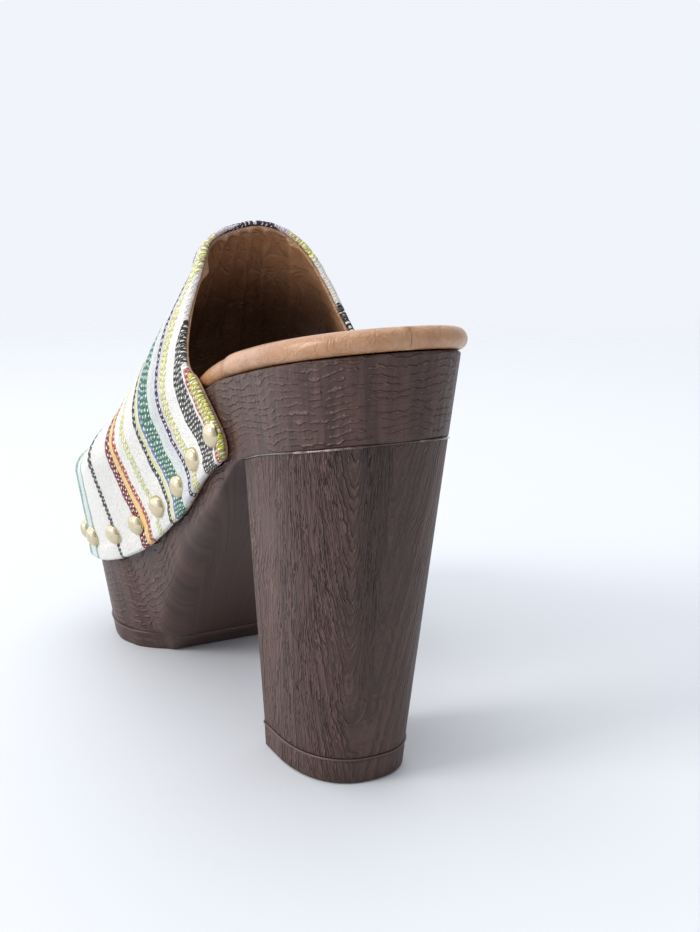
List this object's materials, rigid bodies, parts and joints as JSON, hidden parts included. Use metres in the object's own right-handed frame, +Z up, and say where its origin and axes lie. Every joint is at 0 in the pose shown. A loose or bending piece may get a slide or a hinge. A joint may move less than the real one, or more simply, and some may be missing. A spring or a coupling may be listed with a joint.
{
  "type": "platform mule sandal",
  "caption": "High-heeled platform mule sandal: wood-effect platform and block heel, tan footbed, striped woven upper held on with domed studs.",
  "frame": {"origin": "middle of the shoe's box on the floor it stands on", "axes": "+X to the toe, +Y to the outer side of the left foot, +Z up"},
  "size_m": [0.2226, 0.101, 0.1622],
  "materials": {
    "sole_wood_effect": "dark brown moulded wood grain, satin",
    "heel_wood_effect": "dark brown upright wood grain, satin",
    "sole_rubber": "dark brown rubber",
    "tan_leather": "smooth tan leather with a soft sheen",
    "striped_cloth": "coarse woven cotton with stripes across the foot",
    "pale_gold": "pale gold domed studs"
  },
  "bodies": {
    "root": {"sole": "sole_wood_effect", "outsole": "sole_rubber", "heel": "heel_wood_effect", "heel_top_piece": "sole_rubber", "footbed": "tan_leather", "upper": "striped_cloth", "stud_outer_1": "pale_gold", "stud_outer_2": "pale_gold", "stud_outer_3": "pale_gold", "stud_outer_4": "pale_gold", "stud_outer_5": "pale_gold", "stud_outer_6": "pale_gold", "stud_outer_7": "pale_gold", "stud_outer_8": "pale_gold", "stud_inner_1": "pale_gold", "stud_inner_2": "pale_gold", "stud_inner_3": "pale_gold", "stud_inner_4": "pale_gold", "stud_inner_5": "pale_gold", "stud_inner_6": "pale_gold", "stud_inner_7": "pale_gold", "stud_inner_8": "pale_gold"}
  },
  "joints": []
}
